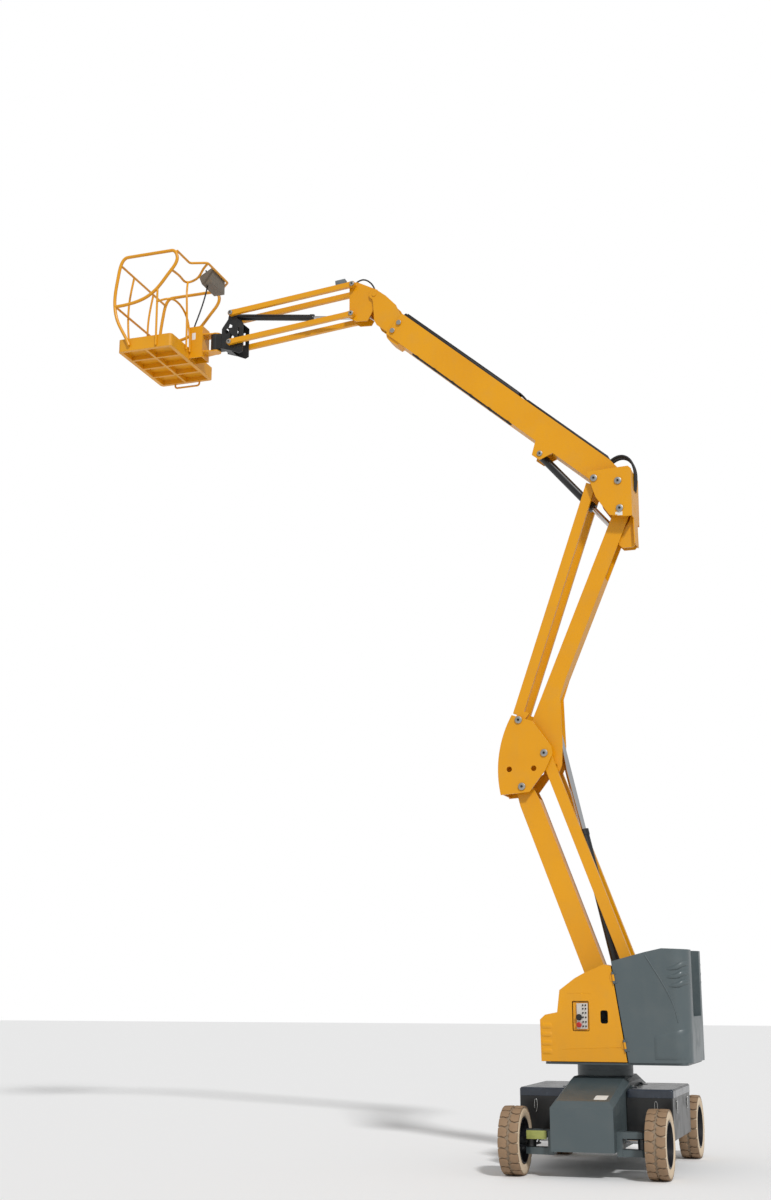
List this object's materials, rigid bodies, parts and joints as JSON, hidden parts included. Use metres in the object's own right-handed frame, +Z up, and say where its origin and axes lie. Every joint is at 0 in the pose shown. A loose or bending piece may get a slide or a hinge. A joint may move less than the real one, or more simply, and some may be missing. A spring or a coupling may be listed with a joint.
{
  "type": "articulating boom lift",
  "caption": "Battery articulating boom lift with folding arms, telescopic boom, jib and turning basket",
  "frame": {"origin": "Centre of the bounding box on the ground under the wheels", "axes": "+Z up. The booms reach towards -X, with the turret turned square to the chassis. The chassis lies along Y, its steered wheels at -Y."},
  "size_m": [6.2824, 2.6, 9.9589],
  "materials": {
    "yellow_paint": "gloss",
    "grey_paint": "satin",
    "grey_iron": "satin",
    "black_paint": "satin",
    "chrome_rod": "polished",
    "tyre_rubber": "matte",
    "yellow_tube": "gloss",
    "black_plastic": "matte",
    "grey_plastic": "matte"
  },
  "bodies": {
    "chassis": {"chassis_frame": "grey_paint", "front_axle": "grey_paint", "rear_axle": "grey_paint", "battery_boxes": "black_plastic", "batteries": "black_plastic"},
    "battery_lid_left": {"battery_lid_left": "black_plastic"},
    "battery_lid_right": {"battery_lid_right": "black_plastic"},
    "knuckle_left": {"steering_knuckle_left": "black_paint"},
    "knuckle_right": {"steering_knuckle_right": "black_paint"},
    "steering_rod": {"steering_rod": "chrome_rod"},
    "wheel_front_left": {"rim_front_left": "black_paint", "tyre_front_left": "tyre_rubber"},
    "wheel_front_right": {"rim_front_right": "black_paint", "tyre_front_right": "tyre_rubber"},
    "wheel_rear_left": {"rim_rear_left": "black_paint", "tyre_rear_left": "tyre_rubber"},
    "wheel_rear_right": {"rim_rear_right": "black_paint", "tyre_rear_right": "tyre_rubber"},
    "turret": {"turntable": "grey_paint", "mast": "grey_paint", "counterweight": "grey_iron", "power_unit": "black_paint", "control_box": "grey_plastic"},
    "side_hood_left": {"side_hood_left": "yellow_paint"},
    "side_hood_right": {"side_hood_right": "yellow_paint"},
    "lower_arm": {"lower_arm": "yellow_paint"},
    "lower_links": {"lower_links": "yellow_paint"},
    "knuckle": {"knuckle": "yellow_paint"},
    "upper_arm": {"upper_arm": "yellow_paint"},
    "upper_links": {"upper_links": "yellow_paint"},
    "head_bracket": {"head_bracket": "yellow_paint"},
    "arm_cylinder_barrel": {"arm_cylinder_barrel": "black_paint"},
    "arm_cylinder_rod": {"arm_cylinder_rod": "chrome_rod"},
    "boom_outer": {"boom_outer": "yellow_paint"},
    "boom_inner": {"boom_inner": "yellow_paint"},
    "boom_cylinder_barrel": {"boom_cylinder_barrel": "black_paint"},
    "boom_cylinder_rod": {"boom_cylinder_rod": "chrome_rod"},
    "jib_base": {"jib_base": "yellow_paint"},
    "levelling_barrel": {"levelling_barrel": "black_paint"},
    "levelling_rod": {"levelling_rod": "chrome_rod"},
    "jib_upper_tubes": {"jib_upper_tubes": "yellow_paint"},
    "jib_lower_tubes": {"jib_lower_tubes": "yellow_paint"},
    "jib_head": {"jib_head": "black_paint"},
    "jib_cylinder_barrel": {"jib_cylinder_barrel": "black_paint"},
    "jib_cylinder_rod": {"jib_cylinder_rod": "chrome_rod"},
    "basket": {"basket_mount": "yellow_paint", "basket_floor": "yellow_paint", "basket_rails": "yellow_tube", "control_console": "grey_plastic"}
  },
  "joints": [
    {"name": "steer_left", "type": "hinge", "parent": "chassis", "child": "knuckle_left", "pos_m": [2.74618, -1, 0.3], "axis": [0, 0, 1], "range_deg": [-35, 35]},
    {"name": "steer_right", "type": "hinge", "parent": "chassis", "child": "knuckle_right", "pos_m": [1.73618, -1, 0.3], "axis": [0, 0, 1], "range_deg": [-35.02, 35.02]},
    {"name": "steering_rod_slide", "type": "slide", "parent": "chassis", "child": "steering_rod", "axis": [1, 0, 0], "range_m": [-0.0924, 0.0924]},
    {"name": "wheel_front_left_roll", "type": "hinge", "parent": "knuckle_left", "child": "wheel_front_left", "pos_m": [2.89618, -1, 0.3], "axis": [1, 0, 0], "continuous": true},
    {"name": "wheel_front_right_roll", "type": "hinge", "parent": "knuckle_right", "child": "wheel_front_right", "pos_m": [1.58618, -1, 0.3], "axis": [1, 0, 0], "continuous": true},
    {"name": "wheel_rear_left_roll", "type": "hinge", "parent": "chassis", "child": "wheel_rear_left", "pos_m": [2.89618, 1, 0.3], "axis": [1, 0, 0], "continuous": true},
    {"name": "wheel_rear_right_roll", "type": "hinge", "parent": "chassis", "child": "wheel_rear_right", "pos_m": [1.58618, 1, 0.3], "axis": [1, 0, 0], "continuous": true},
    {"name": "battery_lid_left_open", "type": "hinge", "parent": "chassis", "child": "battery_lid_left", "pos_m": [2.54418, 0, 0.7438], "axis": [0, -1, 0], "range_deg": [0, 25]},
    {"name": "battery_lid_right_open", "type": "hinge", "parent": "chassis", "child": "battery_lid_right", "pos_m": [1.93818, 0, 0.7438], "axis": [0, 1, 0], "range_deg": [0, 25]},
    {"name": "slew", "type": "hinge", "parent": "chassis", "child": "turret", "pos_m": [2.24118, 0, 0.885], "axis": [0, 0, 1], "range_deg": [-267.5, 87.5]},
    {"name": "side_hood_left_open", "type": "hinge", "parent": "turret", "child": "side_hood_left", "pos_m": [2.55318, -0.531, 0.97], "axis": [-0.1417, 0, 0.9899], "range_deg": [0, 80]},
    {"name": "side_hood_right_open", "type": "hinge", "parent": "turret", "child": "side_hood_right", "pos_m": [2.55318, 0.531, 0.97], "axis": [0.1417, 0, -0.9899], "range_deg": [0, 80]},
    {"name": "arm_lift", "type": "hinge", "parent": "turret", "child": "lower_arm", "pos_m": [2.36918, 0, 1.3], "axis": [0, 1, 0], "range_deg": [-68, 3]},
    {"name": "lower_link_turn", "type": "hinge", "parent": "turret", "child": "lower_links", "pos_m": [2.60618, 0, 1.63], "axis": [0, 1, 0], "range_deg": [-68.02, 3.02]},
    {"name": "knuckle_turn", "type": "hinge", "parent": "lower_arm", "child": "knuckle", "pos_m": [1.51974, 0, 3.60869], "axis": [0, 1, 0], "range_deg": [-3.02, 68.02]},
    {"name": "upper_arm_turn", "type": "hinge", "parent": "knuckle", "child": "upper_arm", "pos_m": [1.75675, 0, 3.93869], "axis": [0, 1, 0], "range_deg": [-3.02, 68.02]},
    {"name": "upper_link_turn", "type": "hinge", "parent": "knuckle", "child": "upper_links", "pos_m": [1.49874, 0, 4.28869], "axis": [0, 1, 0], "range_deg": [-3.02, 68.02]},
    {"name": "bracket_turn", "type": "hinge", "parent": "upper_arm", "child": "head_bracket", "pos_m": [2.62166, 0, 6.4224], "axis": [0, 1, 0], "range_deg": [-68.02, 3.02]},
    {"name": "arm_cylinder_turn", "type": "hinge", "parent": "turret", "child": "arm_cylinder_barrel", "pos_m": [2.48118, 0, 1.45], "axis": [0, 1, 0], "range_deg": [-68.74, 3.05]},
    {"name": "arm_cylinder_stroke", "type": "slide", "parent": "arm_cylinder_barrel", "child": "arm_cylinder_rod", "axis": [-0.2188, 0, 0.9758], "range_m": [-0.8925, 0.0399]},
    {"name": "boom_lift", "type": "hinge", "parent": "head_bracket", "child": "boom_outer", "pos_m": [2.61366, 0, 6.7184], "axis": [0, 1, 0], "range_deg": [-36.5, 28]},
    {"name": "boom_extend", "type": "slide", "parent": "boom_outer", "child": "boom_inner", "axis": [-0.7547, 0, 0.6561], "range_m": [0, 2.4]},
    {"name": "boom_cylinder_turn", "type": "hinge", "parent": "boom_outer", "child": "boom_cylinder_barrel", "pos_m": [1.77448, 0, 7.14314], "axis": [0, 1, 0], "range_deg": [-9.87, 12.86]},
    {"name": "boom_cylinder_stroke", "type": "slide", "parent": "boom_cylinder_barrel", "child": "boom_cylinder_rod", "axis": [0.646, 0, -0.7634], "range_m": [-0.2464, 0.1892]},
    {"name": "jib_level_turn", "type": "hinge", "parent": "boom_inner", "child": "jib_base", "pos_m": [-0.09239, 0, 9.25889], "axis": [0, 1, 0], "range_deg": [-28.02, 36.52]},
    {"name": "levelling_cylinder_turn", "type": "hinge", "parent": "boom_inner", "child": "levelling_barrel", "pos_m": [0.26489, 0, 8.68066], "axis": [0, 1, 0], "range_deg": [-2.63, 2.02]},
    {"name": "levelling_cylinder_stroke", "type": "slide", "parent": "levelling_barrel", "child": "levelling_rod", "axis": [-0.7797, 0, 0.6262], "range_m": [-0.1062, 0.1383]},
    {"name": "jib_lift", "type": "hinge", "parent": "jib_base", "child": "jib_upper_tubes", "pos_m": [-0.34539, 0, 9.40989], "axis": [0, 1, 0], "range_deg": [-65, 75]},
    {"name": "jib_lower_tube_turn", "type": "hinge", "parent": "jib_base", "child": "jib_lower_tubes", "pos_m": [-0.35539, 0, 9.04989], "axis": [0, 1, 0], "range_deg": [-65.02, 75.02]},
    {"name": "jib_head_turn", "type": "hinge", "parent": "jib_upper_tubes", "child": "jib_head", "pos_m": [-1.84918, 0, 9.27304], "axis": [0, 1, 0], "range_deg": [-75.02, 65.02]},
    {"name": "jib_cylinder_turn", "type": "hinge", "parent": "jib_head", "child": "jib_cylinder_barrel", "pos_m": [-1.84918, 0, 9.27304], "axis": [0, 1, 0], "range_deg": [-62.15, 71.71]},
    {"name": "jib_cylinder_stroke", "type": "slide", "parent": "jib_cylinder_barrel", "child": "jib_cylinder_rod", "axis": [0.989, 0, -0.1477], "range_m": [-0.3341, 0.3854]},
    {"name": "basket_rotate", "type": "hinge", "parent": "jib_head", "child": "basket", "pos_m": [-2.08418, 0, 8.87504], "axis": [0, 0, -1], "range_deg": [-90, 90]}
  ],
  "couplings": [
    {"joint": "steer_right", "follows": "steer_left", "ratio": 1},
    {"joint": "steering_rod_slide", "follows": "steer_left", "m_per_rad": -0.1504},
    {"joint": "lower_link_turn", "follows": "arm_lift", "ratio": 1},
    {"joint": "knuckle_turn", "follows": "arm_lift", "ratio": -1},
    {"joint": "upper_arm_turn", "follows": "arm_lift", "ratio": -1},
    {"joint": "upper_link_turn", "follows": "arm_lift", "ratio": -1},
    {"joint": "bracket_turn", "follows": "arm_lift", "ratio": 1},
    {"joint": "arm_cylinder_turn", "follows": "arm_lift", "ratio": 1.0106},
    {"joint": "arm_cylinder_stroke", "follows": "arm_lift", "m_per_rad": 0.7516},
    {"joint": "boom_cylinder_turn", "follows": "boom_lift", "ratio": -0.3518},
    {"joint": "boom_cylinder_stroke", "follows": "boom_lift", "m_per_rad": 0.3861},
    {"joint": "jib_level_turn", "follows": "boom_lift", "ratio": -1},
    {"joint": "levelling_cylinder_turn", "follows": "boom_lift", "ratio": 0.0714},
    {"joint": "levelling_cylinder_stroke", "follows": "boom_lift", "m_per_rad": -0.2164},
    {"joint": "jib_lower_tube_turn", "follows": "jib_lift", "ratio": 1},
    {"joint": "jib_head_turn", "follows": "jib_lift", "ratio": -1},
    {"joint": "jib_cylinder_turn", "follows": "jib_lift", "ratio": 0.9559},
    {"joint": "jib_cylinder_stroke", "follows": "jib_lift", "m_per_rad": 0.294}
  ]
}
